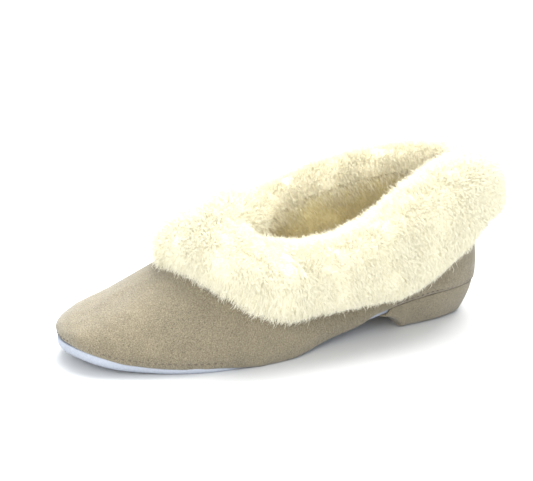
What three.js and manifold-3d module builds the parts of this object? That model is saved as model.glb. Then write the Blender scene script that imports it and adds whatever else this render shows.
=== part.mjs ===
// A left moccasin slipper: a whole-cut suede upper on a pale leather sole with a low covered heel,
// lined with wool, and a wide sheepskin cuff turned down over the top edge.
// Millimetres. The toe points to -Y, the outer side of the foot is +X, and +Z is up.
import * as THREE from "three";
import { mergeVertices } from "three/addons/utils/BufferGeometryUtils.js";
import Module from "manifold-3d";

// ---- Driving dimensions ----------------------------------------------------------------------
const CLEARANCE = 0.3; // kept between pieces that lie against each other

const SOLE_LENGTH = 250; // heel back to toe tip
const HEEL_WIDTH = 60;
const WAIST_WIDTH = 61;
const BALL_WIDTH = 88;
const TOE_WIDTH = 50; // just behind the tip, where the toe is still rounding in
const TOE_SHIFT = 7; // how far the tip leans towards the big toe
const WAIST_SHIFT = 5; // how far the waist leans towards the outer side

const HEEL_HEIGHT = 17; // floor to the underside of the outsole at the back
const WAIST_HEIGHT = 6.5; // floor to the underside of the arch
const TOE_SPRING = 6; // floor to the underside of the toe tip
const HEEL_LENGTH = 60; // along the floor, from the back of the shoe to the heel's front face

const OUTSOLE = 3.2; // leather thickness
const TOE_LIP = 7; // how high the outsole's margin is turned up at the toe tip
const MIDSOLE = 2;
const INSOLE_BOARD = 2;
const SOCK_HIDE = 1.5;
const SOCK_WOOL = 5;

const SUEDE = 2; // upper
const STIFFENER = 1.2; // heel counter and toe puff
const LINING_HIDE = 1.2;
const LINING_WOOL = 6.5;
const LINING_WOOL_AT_TOE = 3.5;
const CUFF_HIDE = 1.5;
const CUFF_WOOL = 15; // depth of the pile outside the hide
const FLAP_WOOL = 18; // and over the instep
const CUFF_EDGE = { back: 59, outer: 29, inner: 36 }; // heights of its hide's lower edge
const CUFF_HANG = 7; // pile below the hide's lower edge
const RIM_ROLL = 13.5; // height of the wool over the top edge
const HEEL_COVER = 1.2;
const TOP_PIECE = 2.5;
const TOP_PIECE_INSET = 1.2;
const HEEL_TAPER = 4.8; // how much the heel block draws in from its seat to the floor
const HEEL_RAKE = 3.5; // how much further its back comes forward there
const HEEL_OVERHANG = 1; // how far the upper stands out over the heel cover
const BREAST_SLOPE = 15; // how far the heel's front face leans forward at its top

const SHANK = { width: 13, length: 96, thickness: 1, middle: 0.35 };
const NAIL = { radius: 1, head: 2.4, headThickness: 0.8, length: 15, spacing: 13 };
const THREAD_RADIUS = 0.45;

const BACK_HEIGHT = 80; // top edge of the suede at the heel
const OUTER_HEIGHT = 46; // and at its lowest, under the outer ankle
const INNER_HEIGHT = 61; // and under the inner ankle
const THROAT_HEIGHT = 61; // and over the instep
const VAMP_HEIGHT = 48; // ridge of the vamp, half way from throat to toe
const TOE_HEIGHT = 33; // ridge above the toes, where the toe cap starts to round down

// ---- Shares of the length where the shape is set ----------------------------------------------
const MOUTH_BACK = 0.025;
const THROAT = 0.628;
const MID_VAMP = 0.755;
const TOE_CAP = 0.885;
const STATIONS = 36; // sections along each side of the shoe
const WALL_STEPS = 7; // steps up the wall of a skin
const THROAT_STATION = 22; // the station of the throat, counted from the heel back
const COUNTER_STATIONS = 9; // how far the counter and the puff reach from the middle
const PUFF_STATIONS = 8;
const HIDE_STATIONS = 25; // how far the cuff's hide reaches over the vamp
const HEEL_END_STATION = 13; // where the heel's cover ends
const CUFF_SIDE = 0.265; // where the cuff's edge leaves the level, as a share of the way round
const CUFF_POINT = 2; // how late it then runs up to the point
const CUFF_ROUNDING = 0.045;
const BACK_SEAM_GAP = 0.0007; // half the butt seam at the heel
const WOOL_STEPS = 6;
const ROLL_STEPS = 6;
const UNDER_RIM = 1.8; // room under the roll for the stitches along the top edge
const HEEL_STEPS = 9;

const wasm = await Module();
wasm.setup();

// ---- Small curves and maths -------------------------------------------------------------------
const smoothstep = THREE.MathUtils.smoothstep;
const lerp = THREE.MathUtils.lerp;
const alongY = (share) => SOLE_LENGTH * (0.5 - share);
const shareOf = (y) => THREE.MathUtils.clamp(0.5 - y / SOLE_LENGTH, 0, 1);
const vector = (x, y, z) => new THREE.Vector3(x, y, z);

/** A smooth height along the shoe, through [share of length, height] knots. */
function heightThrough(knots) {
  const slope = (i) => {
    const a = knots[Math.max(i - 1, 0)];
    const b = knots[Math.min(i + 1, knots.length - 1)];
    const turns = (knots[i][1] - a[1]) * (b[1] - knots[i][1]) <= 0;
    return turns ? 0 : (b[1] - a[1]) / (b[0] - a[0]);
  };
  return (share) => {
    let i = 0;
    while (i < knots.length - 2 && share > knots[i + 1][0]) i += 1;
    const [a, za] = knots[i];
    const [b, zb] = knots[i + 1];
    const w = THREE.MathUtils.clamp((share - a) / (b - a), 0, 1);
    const rise = w * w * (3 - 2 * w);
    const start = w * (1 - w) * (1 - w) * (b - a) * slope(i);
    const end = w * w * (w - 1) * (b - a) * slope(i + 1);
    return lerp(za, zb, rise) + start + end;
  };
}

// Underside of the outsole: heel seat, arch, flat tread under the ball, toe spring.
const treadHeight = heightThrough([
  [0, HEEL_HEIGHT],
  [0.2, HEEL_HEIGHT - 2],
  [0.4, WAIST_HEIGHT],
  [0.53, 0.6],
  [0.63, 0],
  [0.76, 0],
  [0.89, TOE_SPRING * 0.32],
  [1, TOE_SPRING],
]);
// Height of the outsole's edge above its underside: plain at the back, turned up round the toe.
const edgeHeight = heightThrough([
  [0, OUTSOLE],
  [0.58, OUTSOLE],
  [0.75, OUTSOLE + 0.5],
  [0.9, TOE_LIP * 0.8],
  [1, TOE_LIP],
]);
const seamHeight = (share) => treadHeight(share) + edgeHeight(share);

// Plan outline of the seam between upper and sole, a closed curve: heel back, outer side, toe, inner side.
const outlineStations = [
  [0.028, HEEL_WIDTH * 0.66, 0],
  [0.11, HEEL_WIDTH * 0.95, 0],
  [0.26, HEEL_WIDTH, WAIST_SHIFT * 0.4],
  [0.42, WAIST_WIDTH, WAIST_SHIFT],
  [0.55, lerp(WAIST_WIDTH, BALL_WIDTH, 0.72), WAIST_SHIFT * 0.6],
  [0.69, BALL_WIDTH, 0],
  [0.84, BALL_WIDTH * 0.86, -TOE_SHIFT * 0.5],
  [0.955, TOE_WIDTH, -TOE_SHIFT * 0.9],
];
const outline = new THREE.CatmullRomCurve3(
  [
    vector(0, alongY(0), 0),
    ...outlineStations.map(([s, w, shift]) => vector(shift + w / 2, alongY(s), 0)),
    vector(-TOE_SHIFT, alongY(1), 0),
    ...outlineStations.map(([s, w, shift]) => vector(shift - w / 2, alongY(s), 0)).reverse(),
  ],
  true,
  "centripetal",
);

/** The outline moved inwards by inset, at height 0. u runs once round from the heel back, outer side
 *  first. */
function outlineAt(u, inset = 0) {
  const at = THREE.MathUtils.euclideanModulo(u, 1);
  const along = outline.getTangent(at);
  return outline.getPoint(at).add(vector(along.y, -along.x, 0).multiplyScalar(inset));
}

// Top edge of the suede, the same way round. Its knots lie opposite those of the outline.
const mouthKnots = (side, height, hold) =>
  [
    [15.5, MOUTH_BACK + 0.022, 0],
    [25.5, 0.14, 0.04],
    [29.5, 0.31, 0.6],
    [27.5, 0.5, 1],
  ].map(([half, share, sag]) =>
    vector(
      side * half + (share > 0.25 ? WAIST_SHIFT * 0.4 : 0),
      alongY(share),
      lerp(BACK_HEIGHT, height, sag ** hold),
    ),
  );
const throat = vector(0, alongY(THROAT), THROAT_HEIGHT);
const mouth = new THREE.CatmullRomCurve3(
  [
    vector(0, alongY(MOUTH_BACK), BACK_HEIGHT),
    ...mouthKnots(1, OUTER_HEIGHT, 1),
    throat,
    ...mouthKnots(-1, INNER_HEIGHT, 2.4).reverse(),
  ],
  true,
  "centripetal",
);

// Ridge of the vamp, from the throat forward to where the toe cap rounds down.
const ridge = new THREE.CatmullRomCurve3([
  throat,
  vector(-TOE_SHIFT * 0.4, alongY(MID_VAMP), VAMP_HEIGHT),
  vector(-TOE_SHIFT * 0.8, alongY(TOE_CAP), TOE_HEIGHT),
]);
const MOUTH_END = THROAT_STATION / STATIONS; // of the way from heel back to toe tip
const RIDGE_END = 0.83;

// ---- The upper's outer surface ----------------------------------------------------------------
/** 0 at the heel back and 1 at the toe tip, on either side. */
const wayOf = (u) => 1 - Math.abs(1 - 2 * THREE.MathUtils.euclideanModulo(u, 1));
/** The share of the mouth's own round that lies over u. */
function mouthShare(u) {
  const half = (0.5 * wayOf(u)) / MOUTH_END;
  const outer = THREE.MathUtils.euclideanModulo(u, 1) <= 0.5;
  return outer ? half : THREE.MathUtils.euclideanModulo(1 - half, 1);
}

/** How the upper's wall ends at its top, for u round the outline: point, slope along Y, and whether on
 *  the ridge. */
function topAt(u) {
  const way = wayOf(u);
  if (way < MOUTH_END - 1e-6) {
    const point = mouth.getPoint(mouthShare(u));
    const first = ridge.getTangent(0);
    return { point, slope: first.z / first.y, over: smoothstep(way, MOUTH_END - 0.16, MOUTH_END) };
  }
  const r = THREE.MathUtils.clamp((way - MOUTH_END) / (RIDGE_END - MOUTH_END), 0, 1);
  const along = ridge.getTangent(r);
  return { point: ridge.getPoint(r), slope: along.z / along.y, over: 1, closed: true };
}

/** A point of the upper's outer surface: u round the outline, v from the sole seam (0) up to the top (1). */
function wallAt(u, v) {
  const foot = outlineAt(u);
  const share = shareOf(foot.y);
  foot.z = seamHeight(share);
  const { point: top, slope, over } = topAt(u);
  const rise = top.z - foot.z;
  const reach = vector(foot.x - top.x, foot.y - top.y, 0);
  const outwards = outlineAt(u, -1).sub(outlineAt(u));
  const bulge = 2.6;
  const low = foot.clone().addScaledVector(outwards, bulge);
  low.z += rise * lerp(0.36, 0.5, over);
  const high = top.clone().addScaledVector(reach, lerp(0.5, 0.62, over));
  high.z += over * 0.62 * slope * reach.y - (1 - over) * rise * 0.34;
  return new THREE.CubicBezierCurve3(foot, low, high, top).getPoint(v);
}

/** The outward unit normal of the upper's surface. Towards the throat, where the mouth runs along the
 *  wall's own lines, it turns into the normal of the ridge. */
function wallNormal(u, v) {
  const { slope, over, closed } = topAt(u);
  const onTop = vector(0, -slope, 1).normalize();
  if (closed && v > 0.999) return onTop;
  const round = 0.01;
  const step = 0.02;
  const w = THREE.MathUtils.clamp(v, step, 1 - lerp(step, 0.12, over));
  const turned = (s) => THREE.MathUtils.euclideanModulo(s, 1);
  const across = wallAt(turned(u + round), w).sub(wallAt(turned(u - round), w));
  const up = wallAt(u, w + step).sub(wallAt(u, w - step));
  return up.cross(across).normalize().lerp(onTop, over ** 2 * smoothstep(v, 0.75, 1)).normalize();
}

const skinAt = (u, v, depth) => wallAt(u, v).addScaledVector(wallNormal(u, v), depth);

// ---- Solids -----------------------------------------------------------------------------------
/** Closes quads of points into one indexed geometry, each split along its shorter diagonal. Coincident
 *  points merge, and walls that two halves share cancel, so a skin that meets itself stays one body. */
function closedGeometry(faces) {
  const ids = new Map();
  const positions = [];
  const idOf = (p) => {
    const key = [p.x, p.y, p.z].map((c) => Math.round(c * 2000)).join(",");
    if (!ids.has(key)) {
      ids.set(key, positions.length / 3);
      positions.push(p.x, p.y, p.z);
    }
    return ids.get(key);
  };
  const triangles = new Map();
  const add = (a, b, c) => {
    if (a === b || b === c || c === a) return;
    const key = [a, b, c].sort((m, n) => m - n).join(",");
    if (triangles.has(key)) triangles.delete(key);
    else triangles.set(key, [a, b, c]);
  };
  const span = (a, b) =>
    Math.hypot(...[0, 1, 2].map((k) => positions[3 * a + k] - positions[3 * b + k]));
  for (const face of faces) {
    const corners = face.map(idOf);
    const [a, b, c, d] = corners;
    const longer = span(a, c) - span(b, d);
    if (longer > 1e-4 || (Math.abs(longer) <= 1e-4 && Math.min(b, d) < Math.min(a, c))) {
      add(b, c, d);
      add(b, d, a);
    } else {
      add(a, b, c);
      add(a, c, d);
    }
  }
  const geometry = new THREE.BufferGeometry();
  geometry.setAttribute("position", new THREE.Float32BufferAttribute(positions, 3));
  geometry.setIndex([...triangles.values()].flat());
  return geometry;
}

/** Joins rings of points, each the same number, into a solid. A closed loop of rings has no ends; the
 *  others are capped by strips between opposite points, first to last. */
function loft(rings, loop = false) {
  const faces = [];
  const last = loop ? rings.length : rings.length - 1;
  for (let r = 0; r < last; r += 1) {
    const a = rings[r];
    const b = rings[(r + 1) % rings.length];
    a.forEach((_, i) => {
      const j = (i + 1) % a.length;
      faces.push([a[i], a[j], b[j], b[i]]);
    });
  }
  const cap = (ring, flip) => {
    for (let i = 0; i < ring.length / 2 - 1; i += 1) {
      const face = [ring[i], ring[i + 1], ring[ring.length - 2 - i], ring[ring.length - 1 - i]];
      faces.push(flip ? face.reverse() : face);
    }
  };
  if (!loop) {
    cap(rings[0], true);
    cap(rings[rings.length - 1], false);
  }
  return facingOut(closedGeometry(faces));
}

/** The geometry with its faces turned out, if they point in. */
function facingOut(geometry) {
  const p = geometry.attributes.position;
  const index = geometry.index.array;
  let volume = 0;
  const [a, b, c] = [new THREE.Vector3(), new THREE.Vector3(), new THREE.Vector3()];
  for (let i = 0; i < index.length; i += 3) {
    a.fromBufferAttribute(p, index[i]);
    b.fromBufferAttribute(p, index[i + 1]);
    c.fromBufferAttribute(p, index[i + 2]);
    volume += a.dot(b.cross(c));
  }
  for (let i = 0; volume < 0 && i < index.length; i += 3) {
    [index[i], index[i + 1]] = [index[i + 1], index[i]];
  }
  return geometry;
}

const steps = (count) => Array.from({ length: count + 1 }, (_, i) => i / count);

/** A layer of the upper between two depths from its outer surface, over its stations or all round.
 *  low and high are its edges up the wall, and inner and outer its depths, as functions of (u, v). */
function layer({ stations, low, high, inner, outer, wall = WALL_STEPS }) {
  const loop = !stations;
  const round = Array.from({ length: 2 * STATIONS }, (_, i) => i / (2 * STATIONS));
  return loft(
    (stations ?? round).map((span) => {
      const u = THREE.MathUtils.euclideanModulo(span, 1);
      const up = steps(wall).map((s) => lerp(low(u), high(u), s));
      return [
        ...up.map((v) => skinAt(u, v, outer(u, v))),
        ...up.reverse().map((v) => skinAt(u, v, inner(u, v))),
      ];
    }),
    loop,
  );
}

/** A plate that lies along the sole, between two heights above the tread. Its edge is drawn in by inset,
 *  and by tip at the toe. */
function plate(inset, bottom, top, tip = inset) {
  return loft(
    steps(STATIONS).map((way) => {
      const corner = (side, height) => {
        const edge = lerp(inset, tip, smoothstep(way, 0.72, 1));
        const p = outlineAt(side > 0 ? way / 2 : 1 - way / 2, edge);
        return p.setZ(treadHeight(shareOf(p.y)) + height);
      };
      return [corner(1, bottom), corner(1, top), corner(-1, top), corner(-1, bottom)];
    }),
  );
}

/** A round rod along a curve of points: a closed loop, or capped at both ends. */
function rod(points, radius, loop, sides = 4) {
  const rings = points.map((p, i) => {
    const before = points[loop ? (i + points.length - 1) % points.length : Math.max(i - 1, 0)];
    const after = points[loop ? (i + 1) % points.length : Math.min(i + 1, points.length - 1)];
    const along = after.clone().sub(before).normalize();
    const side = along.clone().cross(Math.abs(along.z) > 0.9 ? vector(1, 0, 0) : vector(0, 0, 1)).normalize();
    const up = side.clone().cross(along);
    return Array.from({ length: sides }, (_, k) => {
      const angle = (2 * Math.PI * k) / sides;
      return p
        .clone()
        .addScaledVector(side, radius * Math.cos(angle))
        .addScaledVector(up, radius * Math.sin(angle));
    });
  });
  return loft(rings, loop);
}

// ---- Joining and cutting ----------------------------------------------------------------------
function manifoldOf(geometry) {
  const bare = geometry.clone();
  bare.deleteAttribute("normal");
  bare.deleteAttribute("uv");
  const merged = mergeVertices(bare, 1e-4);
  return new wasm.Manifold(
    new wasm.Mesh({
      numProp: 3,
      vertProperties: merged.attributes.position.array,
      triVerts: new Uint32Array(merged.index.array),
    }),
  );
}

function geometryOf(manifold) {
  const mesh = manifold.getMesh();
  const geometry = new THREE.BufferGeometry();
  geometry.setAttribute("position", new THREE.Float32BufferAttribute(mesh.vertProperties, 3));
  geometry.setIndex(new THREE.BufferAttribute(mesh.triVerts, 1));
  return geometry;
}

const cut = (geometry, ...tools) =>
  geometryOf(tools.reduce((left, tool) => left.subtract(manifoldOf(tool)), manifoldOf(geometry)));
const joined = (geometry, ...others) =>
  geometryOf(others.reduce((sum, other) => sum.add(manifoldOf(other)), manifoldOf(geometry)));
const common = (geometry, other) => geometryOf(manifoldOf(geometry).intersect(manifoldOf(other)));

// ---- The assembly -----------------------------------------------------------------------------
const moccasin = new THREE.Group();
moccasin.name = "moccasin";

function addPiece(name, geometry, material) {
  const mesh = new THREE.Mesh(geometry, material);
  mesh.name = name;
  geometry.computeVertexNormals();
  moccasin.add(mesh);
  return mesh;
}

const finish = (color, roughness, metalness = 0) =>
  new THREE.MeshStandardMaterial({ color, roughness, metalness });
const suede = finish(0xa89c82, 0.95);
const hide = finish(0xe6dcc4, 0.9);
const wool = finish(0xfbf7e2, 1);
const soleLeather = finish(0xd3d9e2, 0.7);
const board = finish(0xb08d62, 0.9);
const thread = finish(0x5c5648, 0.8);
const steel = finish(0x9a9ea3, 0.35, 1);
const wood = finish(0xc9a878, 0.8);

const roundOver = (s) => Math.sqrt(Math.max(1 - (1 - THREE.MathUtils.clamp(s, 0, 1)) ** 2, 0));
const halfOf = (u) => wayOf(u) / 2;
const riseAt = (u) => topAt(u).point.z - seamHeight(shareOf(outlineAt(u).y));
const stationsFrom = (first, last) =>
  Array.from({ length: last - first + 1 }, (_, i) => (first + i) / (2 * STATIONS));

// Depths of the skins, counted inwards from the upper's outer surface.
const SKIN_GAP = CLEARANCE + 0.2; // skins curve both ways, so their facets need a little more
const CUFF_GAP = SKIN_GAP + 0.25; // and the flap's bend over the instep more again
const STIFFENER_START = SUEDE + SKIN_GAP;
const LINING_START = STIFFENER_START + STIFFENER + SKIN_GAP;
const WOOL_START = LINING_START + LINING_HIDE + SKIN_GAP;

const SEAT_TOP = OUTSOLE + MIDSOLE + INSOLE_BOARD + 2 * CLEARANCE; // board's top above the tread
const SEAT_GAP = 1; // from the board up to the lower edges of the stiffeners and the lining

/** Pile depth of the lining, thinner towards the toe. */
const liningPile = (u) => lerp(LINING_WOOL, LINING_WOOL_AT_TOE, smoothstep(wayOf(u), 0.5, 0.85));
/** Share of the wall at a height above the floor. */
function wallShare(u, height) {
  let low = 0;
  let high = 1;
  for (let i = 0; i < 14; i += 1) {
    const mid = (low + high) / 2;
    if (wallAt(u, mid).z < height) low = mid;
    else high = mid;
  }
  return low;
}
const overSeat = (u, height) =>
  wallShare(u, treadHeight(shareOf(outlineAt(u).y)) + SEAT_TOP + height);
/** A skin of the lining, all round, from a depth inwards. */
const liningLayer = (start, depth) =>
  layer({
    low: (u) => overSeat(u, SEAT_GAP),
    high: () => 1,
    inner: (u) => -(start + depth(u)),
    outer: () => -start,
    wall: 5,
  });
// What lies along the sole is trimmed to clear the lining's wool.
const liningRoom = liningLayer(WOOL_START, (u) => liningPile(u) + CLEARANCE * 0.3);

// ---- Sole -------------------------------------------------------------------------------------
const heelSide = HEEL_OVERHANG + HEEL_COVER + CLEARANCE; // inset of the outsole behind the heel cover
const outsoleInset = (share) => heelSide * (1 - smoothstep(share, 0.315, 0.35));

/** A leather cup whose margin turns up round the toe, and which sits inside the heel cover at the back. */
function outsoleGeometry() {
  return loft(
    steps(STATIONS).map((way) => {
      const side = (sign) => {
        const u = sign > 0 ? way / 2 : 1 - way / 2;
        const share = shareOf(outlineAt(u).y);
        const turn = edgeHeight(share) - OUTSOLE; // how far the margin is turned up here
        const lip = edgeHeight(share) - CLEARANCE;
        const at = (inset, rise) => {
          const p = outlineAt(u, outsoleInset(share) + inset);
          return p.setZ(treadHeight(shareOf(p.y)) + rise);
        };
        const edge = 1.2 + 0.8 * turn;
        return [
          at(edge, 0),
          at(0.3 * edge, 0.22 * lip),
          at(0, 0.62 * lip),
          at(0, lip),
          at(SUEDE, lip),
          at(OUTSOLE + 0.3 * turn, Math.min(OUTSOLE, lip) - 0.02),
        ];
      };
      return [...side(1), ...side(-1).reverse()];
    }),
  );
}

// Nails stand through the seat of the shoe into the heel block, heads let in flush.
const nailPlaces = [
  [0, 0.07],
  [-NAIL.spacing, 0.11],
  [NAIL.spacing, 0.11],
  [-NAIL.spacing, 0.195],
  [NAIL.spacing, 0.195],
];
/** A heel nail, or with a margin the hole it needs. Its head is flush where the seat is lowest. */
function nailGeometry([x, share], margin = 0) {
  const top = treadHeight(share + NAIL.head / SOLE_LENGTH) + SEAT_TOP;
  const cylinder = (radius, z0, z1) =>
    new THREE.CylinderGeometry(radius, radius, z1 - z0, 10)
      .rotateX(Math.PI / 2)
      .translate(x, alongY(share), (z0 + z1) / 2);
  const shaft = cylinder(NAIL.radius + margin, top - NAIL.length - margin, top - 0.2);
  const head = cylinder(NAIL.head + margin, top - NAIL.headThickness - margin, top + margin * 4);
  return joined(shaft, head);
}
const nailHoles = nailPlaces.map((place) => nailGeometry(place, CLEARANCE));

// Shank: a sprung strip under the arch, let into the midsole.
const shankBox = (margin) =>
  new THREE.BoxGeometry(SHANK.width + 2 * margin, SHANK.length + 2 * margin, 80).translate(
    WAIST_SHIFT * 0.7,
    alongY(SHANK.middle),
    30,
  );
const midsoleLow = OUTSOLE + CLEARANCE;
const midsoleTop = midsoleLow + MIDSOLE;
const shankLow = midsoleTop - SHANK.thickness;
const cupInset = OUTSOLE + 0.3 * (TOE_LIP - OUTSOLE) + CLEARANCE; // inside the outsole's cup

const boardTip = cupInset + (1 - TOE_CAP) * SOLE_LENGTH * 0.25; // ends behind the lining's foot

addPiece("outsole", cut(outsoleGeometry(), ...nailHoles), soleLeather);
addPiece(
  "midsole",
  cut(
    plate(cupInset, midsoleLow, midsoleTop),
    common(plate(0, shankLow - CLEARANCE, shankLow + MIDSOLE), shankBox(CLEARANCE)),
    ...nailHoles,
  ),
  board,
);
addPiece("shank", common(plate(2, shankLow, midsoleTop), shankBox(0)), steel);
addPiece(
  "insole_board",
  cut(plate(cupInset, SEAT_TOP - INSOLE_BOARD, SEAT_TOP, boardTip), liningRoom, ...nailHoles),
  board,
);

// ---- Heel -------------------------------------------------------------------------------------
// The block, the suede that wraps it and the top piece that meets the floor share one plan, a D whose
// straight side is the front face. level 0 is the floor and 1 the underside of the outsole.
/** Point of the drawn-in outline at a distance from the heel back, on the outer (1) or inner (-1) side. */
function outlineSideAt(side, distance, inset) {
  let low = 0;
  let high = 0.3;
  const at = (half) => outlineAt(side > 0 ? half : 1 - half, inset);
  for (let i = 0; i < 30; i += 1) {
    const mid = (low + high) / 2;
    if (SOLE_LENGTH / 2 - at(mid).y < distance) low = mid;
    else high = mid;
  }
  return at(low);
}
function heelRing(inset, level) {
  const draw = HEEL_OVERHANG + inset + HEEL_TAPER * (1 - Math.min(level, 1)) ** 1.5;
  const breast = HEEL_LENGTH + BREAST_SLOPE * Math.min(level, 1) ** 2 - inset;
  const edge = (side) =>
    steps(HEEL_STEPS).map((s) => {
      const reach = (1 - Math.cos((Math.PI / 2) * s)) * (breast - draw) + draw;
      const p = outlineSideAt(side, reach, draw);
      p.setZ(level * treadHeight(shareOf(p.y)));
      const raked = HEEL_RAKE * (1 - Math.min(level, 1)) ** 1.5;
      return p.setY(p.y - raked * smoothstep(p.y, alongY(0.2), alongY(0.02)));
    });
  return [...edge(1), ...edge(-1).reverse()];
}
const heelBody = (inset, top = 1) =>
  loft([0, 0.35, 0.7, 1, 1.6].filter((level) => level <= top).map((level) => heelRing(inset, level)));
const slabBelow = (top) =>
  new THREE.BoxGeometry(SOLE_LENGTH, SOLE_LENGTH * 2, 40).translate(0, 0, top - 20);
const coverTop = OUTSOLE - CLEARANCE;

addPiece(
  "heel_cover",
  cut(
    heelBody(0, 1.6),
    heelBody(HEEL_COVER, 1.6),
    plate(heelSide - CLEARANCE, -CLEARANCE, 30),
    plate(-5, coverTop, 30),
    slabBelow(TOP_PIECE * 0.4),
  ),
  suede,
);
addPiece(
  "heel_block",
  cut(
    heelBody(HEEL_COVER + CLEARANCE, 1.6),
    plate(-5, -CLEARANCE, 30),
    slabBelow(TOP_PIECE + CLEARANCE),
    ...nailHoles,
  ),
  wood,
);
addPiece(
  "heel_top_piece",
  common(heelBody(HEEL_COVER + TOP_PIECE_INSET), slabBelow(TOP_PIECE)),
  soleLeather,
);
nailPlaces.forEach((place, i) => addPiece(`heel_nail_${i + 1}`, nailGeometry(place), steel));

// ---- Upper and lining -------------------------------------------------------------------------
addPiece(
  "upper",
  layer({
    stations: [BACK_SEAM_GAP, ...stationsFrom(1, 2 * STATIONS - 1), 1 - BACK_SEAM_GAP],
    low: () => 0,
    high: () => 1,
    inner: () => -SUEDE,
    outer: () => 0,
  }),
  suede,
);

// Stiffeners between suede and lining: the counter cups the heel, the puff domes the toe.
const stiffener = { inner: () => -(STIFFENER_START + STIFFENER), outer: () => -STIFFENER_START };
const stiffenerFoot = (u) => overSeat(u, SEAT_GAP);
addPiece(
  "heel_counter",
  layer({
    ...stiffener,
    stations: stationsFrom(-COUNTER_STATIONS, COUNTER_STATIONS),
    low: stiffenerFoot,
    high: (u) => lerp(0.66, 0.4, smoothstep(halfOf(u), 0.04, 0.13)),
    wall: 5,
  }),
  board,
);
addPiece(
  "toe_puff",
  layer({
    ...stiffener,
    stations: stationsFrom(STATIONS - PUFF_STATIONS, STATIONS + PUFF_STATIONS),
    low: stiffenerFoot,
    high: () => 1,
    wall: 5,
  }),
  board,
);
addPiece("lining_hide", liningLayer(LINING_START, () => LINING_HIDE), hide);
addPiece("lining_wool", liningLayer(WOOL_START, liningPile), wool);

// The sock lies on the board inside the lining.
const sockInset = WOOL_START + LINING_WOOL + 2 * CLEARANCE;
const sockTip = sockInset + 9; // the toe's wall leans in over it
const sockLow = SEAT_TOP + CLEARANCE;
const sockPlate = (bottom, top) => cut(plate(sockInset, bottom, top, sockTip), liningRoom);
addPiece("sock_hide", sockPlate(sockLow, sockLow + SOCK_HIDE), hide);
const sockWoolLow = sockLow + SOCK_HIDE + CLEARANCE;
addPiece("sock_wool", sockPlate(sockWoolLow, sockWoolLow + SOCK_WOOL), wool);

// ---- The cuff ---------------------------------------------------------------------------------
const onRidge = (u) => halfOf(u) > THROAT_STATION / (2 * STATIONS) + 1e-6;

/** Lower edge of the cuff as a share of the wall: level round the quarters, a point over the vamp. */
function cuffEdge(u, front, hang = 0) {
  const half = halfOf(u);
  const side = THREE.MathUtils.euclideanModulo(u, 1) < 0.5 ? CUFF_EDGE.outer : CUFF_EDGE.inner;
  const height = lerp(CUFF_EDGE.back, side, smoothstep(half, 0.06, 0.18)) - hang;
  const t = THREE.MathUtils.clamp((half - CUFF_SIDE) / (front - CUFF_SIDE), 0, 1);
  return lerp(wallShare(u, height), 1, t ** CUFF_POINT);
}
const hideFront = HIDE_STATIONS / (2 * STATIONS);
const woolFront = (HIDE_STATIONS + 1.5) / (2 * STATIONS);
const hideTop = CUFF_GAP + CUFF_HIDE;
addPiece(
  "cuff_hide",
  layer({
    stations: stationsFrom(-HIDE_STATIONS, HIDE_STATIONS),
    low: (u) => cuffEdge(u, hideFront),
    high: () => 1,
    inner: () => CUFF_GAP,
    outer: () => hideTop,
    wall: 6,
  }),
  hide,
);

/** Across the top edge at u: the point on the edge, out of the wall, and over the edge. */
function rimAt(u) {
  const out = wallNormal(u, 1);
  const over = mouth.getTangent(mouthShare(u)).cross(out).normalize();
  return { point: wallAt(u, 1), out, over };
}

/** One section of the wool: up the outside of the hide, over the rim and back down along the hide. */
function woolRing(u) {
  const edge = cuffEdge(u, woolFront, CUFF_HANG);
  const hideEdge = cuffEdge(u, hideFront);
  const front = roundOver((woolFront - halfOf(u)) / CUFF_ROUNDING);
  const seat = hideTop + CUFF_GAP;
  const foot = CUFF_GAP + 0.9 * smoothstep(halfOf(u), 0.29, 0.34);
  const pile = lerp(CUFF_WOOL, FLAP_WOOL, smoothstep(halfOf(u), 0.2, 0.29)) * front;
  const overHide = THREE.MathUtils.clamp((woolFront - halfOf(u)) / (woolFront - hideFront), 0, 1);
  const topSeat = lerp(foot, seat, overHide);
  const outside = steps(WOOL_STEPS).map((s) => {
    const under = lerp(foot, topSeat, Math.min(s * 4, 1));
    return skinAt(u, lerp(edge, 1, s), under + pile * roundOver(s / 0.55));
  });
  const below = Math.max(hideEdge - 0.03, edge);
  const inside = [
    skinAt(u, 1, topSeat),
    ...steps(5).map((s) => skinAt(u, lerp(1, below, s), topSeat)).slice(1),
    skinAt(u, edge, foot),
  ];
  const roll = steps(ROLL_STEPS);
  if (onRidge(u)) {
    const shut = [...roll.slice(1).map(() => outside.at(-1)), inside[0], inside[0]];
    return [...outside, ...shut, ...inside];
  }
  const { point, out, over } = rimAt(u);
  const across = (a, b) => point.clone().addScaledVector(out, a).addScaledVector(over, b);
  const outer = topSeat + pile;
  const inner = WOOL_START + liningPile(u);
  const overRim = roll.slice(1).map((s) => {
    const c = Math.cos(Math.PI * s);
    return across(c * (c > 0 ? outer : inner), RIM_ROLL * Math.sin(Math.PI * s) + UNDER_RIM * s);
  });
  return [...outside, ...overRim, across(-inner * 0.5, UNDER_RIM), across(0.6, UNDER_RIM), ...inside];
}
const woolStations = [-woolFront, ...stationsFrom(-HIDE_STATIONS - 1, HIDE_STATIONS + 1), woolFront];
addPiece("cuff_wool", loft(woolStations.map(woolRing)), wool);

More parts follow.
